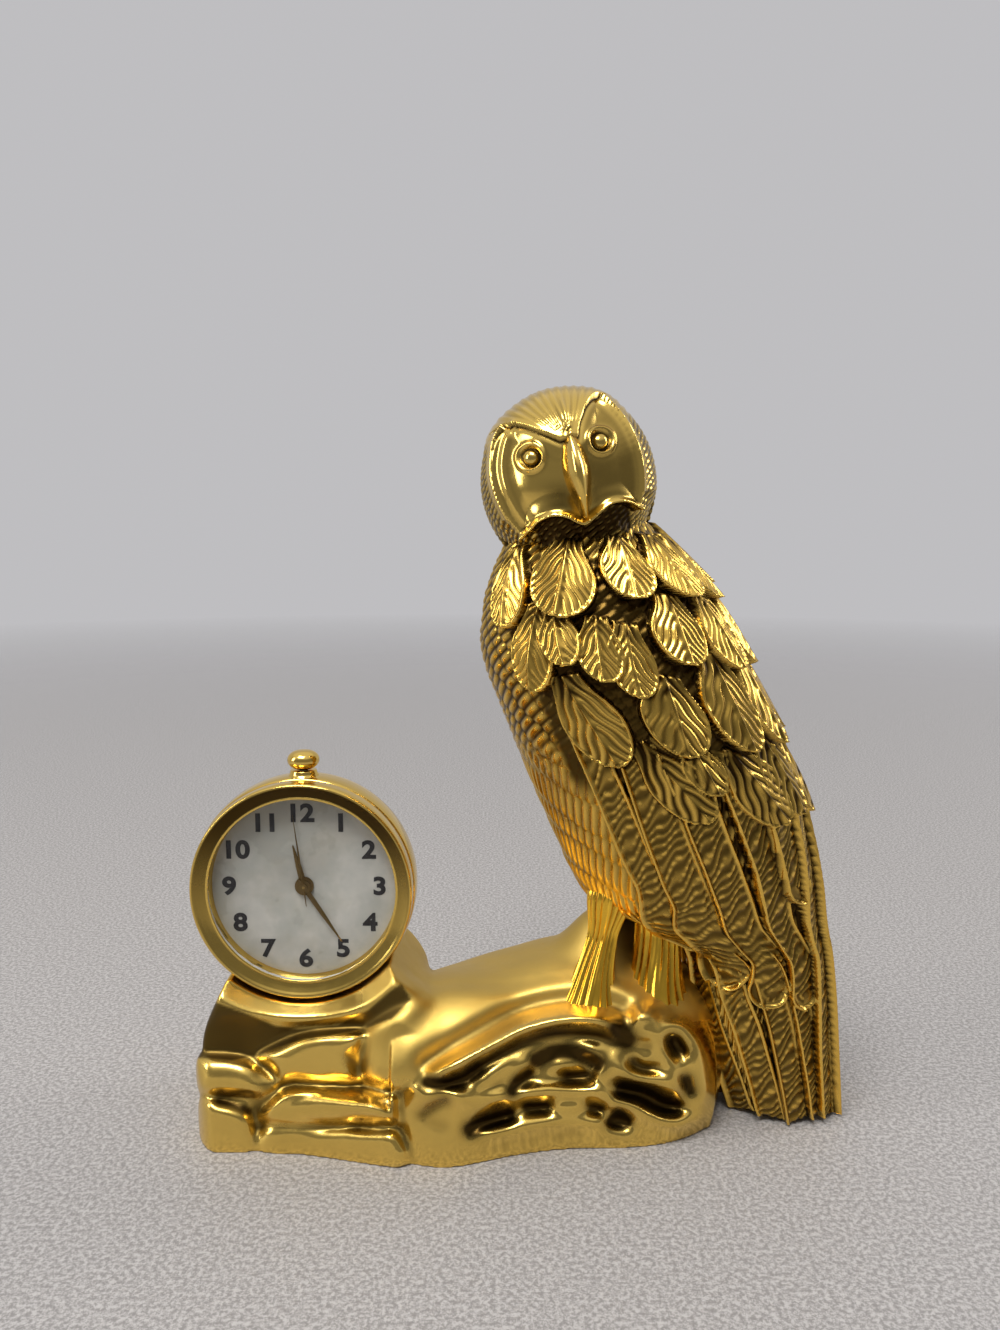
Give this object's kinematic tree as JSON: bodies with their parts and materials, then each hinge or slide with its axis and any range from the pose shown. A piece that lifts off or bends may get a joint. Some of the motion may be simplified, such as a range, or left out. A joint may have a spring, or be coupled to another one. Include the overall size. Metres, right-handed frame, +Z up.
{
  "type": "desk clock",
  "caption": "Small gold-plated owl figurine on a rocky base with a round quartz clock standing in a cradle at its left.",
  "frame": {"origin": "middle of the underside of the bounding box, on the table", "axes": "+Z up, the dial and the owl face look along -Y, the owl stands towards +X"},
  "size_m": [0.068, 0.0254, 0.0752],
  "materials": {
    "gold_plate": "polished gold plate",
    "dark_gold": "dark gold hands",
    "clear_glass": "clear flat mineral glass",
    "pearl": "pale mother-of-pearl face",
    "movement_brass": "satin brass",
    "steel": "bright steel",
    "copper_wire": "enamelled copper wire",
    "board_green": "green circuit board",
    "pale_plastic": "pale plastic spacer",
    "black_rubber": "black rubber ring"
  },
  "bodies": {
    "stand": {"rock_base": "gold_plate", "owl": "gold_plate", "owl_screw": "steel", "clock_screw": "steel", "case_body": "gold_plate", "bezel": "gold_plate", "crystal": "clear_glass", "crystal_gasket": "pale_plastic", "dial": "pearl", "stator": "steel", "coil_core": "steel", "coil_winding": "copper_wire", "main_plate": "movement_brass", "train_bridge": "steel", "bridge_screw_1": "steel", "bridge_screw_2": "steel", "bridge_screw_3": "steel", "battery": "steel", "battery_strap": "steel", "circuit_board": "board_green", "quartz_can": "steel", "crown_tube": "gold_plate", "movement_ring": "pale_plastic", "case_back": "gold_plate", "back_gasket": "black_rubber"},
    "seconds": {"fourth_wheel": "movement_brass", "second_hand": "dark_gold"},
    "third": {"third_wheel": "movement_brass"},
    "minutes": {"centre_wheel": "movement_brass", "minute_hand": "dark_gold"},
    "motion_work": {"minute_wheel": "movement_brass"},
    "hours": {"hour_wheel": "movement_brass", "hour_hand": "dark_gold"},
    "intermediate": {"intermediate_wheel": "movement_brass"},
    "rotor": {"rotor": "steel"},
    "stem": {"winding_stem": "steel"},
    "crown": {"crown": "gold_plate", "stem_pinion": "steel"},
    "lever": {"setting_lever": "steel"}
  },
  "joints": [
    {"name": "seconds_turn", "type": "hinge", "parent": "stand", "child": "seconds", "pos_m": [-0.02257, -0.00223, 0.0254], "axis": [0, 1, 0], "continuous": true},
    {"name": "third_turn", "type": "hinge", "parent": "stand", "child": "third", "pos_m": [-0.0251, -0.00223, 0.02752], "axis": [0, 1, 0], "continuous": true},
    {"name": "minutes_turn", "type": "hinge", "parent": "stand", "child": "minutes", "pos_m": [-0.02257, -0.00223, 0.0254], "axis": [0, 1, 0], "continuous": true},
    {"name": "motion_turn", "type": "hinge", "parent": "stand", "child": "motion_work", "pos_m": [-0.02137, -0.00223, 0.02748], "axis": [0, 1, 0], "continuous": true},
    {"name": "hours_turn", "type": "hinge", "parent": "stand", "child": "hours", "pos_m": [-0.02257, -0.00223, 0.0254], "axis": [0, 1, 0], "continuous": true},
    {"name": "intermediate_turn", "type": "hinge", "parent": "stand", "child": "intermediate", "pos_m": [-0.01947, -0.00223, 0.02427], "axis": [0, 1, 0], "continuous": true},
    {"name": "rotor_turn", "type": "hinge", "parent": "stand", "child": "rotor", "pos_m": [-0.01702, -0.00223, 0.02338], "axis": [0, 1, 0], "continuous": true},
    {"name": "crown_pull", "type": "slide", "parent": "stand", "child": "stem", "axis": [0, 0, 1], "range_m": [0, 0.0008]},
    {"name": "crown_turn", "type": "hinge", "parent": "stem", "child": "crown", "pos_m": [-0.02257, -0.00288, 0.0368], "axis": [0, 0, 1], "continuous": true},
    {"name": "lever_swing", "type": "hinge", "parent": "stand", "child": "lever", "pos_m": [-0.02477, -0.00243, 0.0319], "axis": [0, -1, 0], "range_deg": [0, 23]}
  ],
  "couplings": [
    {"joint": "intermediate_turn", "follows": "rotor_turn", "ratio": -0.16667},
    {"joint": "seconds_turn", "follows": "rotor_turn", "ratio": 0.033333},
    {"joint": "third_turn", "follows": "rotor_turn", "ratio": -0.0044444},
    {"joint": "minutes_turn", "follows": "rotor_turn", "ratio": 0.00055556},
    {"joint": "motion_turn", "follows": "rotor_turn", "ratio": -0.00018519},
    {"joint": "hours_turn", "follows": "rotor_turn", "ratio": 0.000046296},
    {"joint": "lever_swing", "follows": "crown_pull", "rad_per_m": 500}
  ]
}
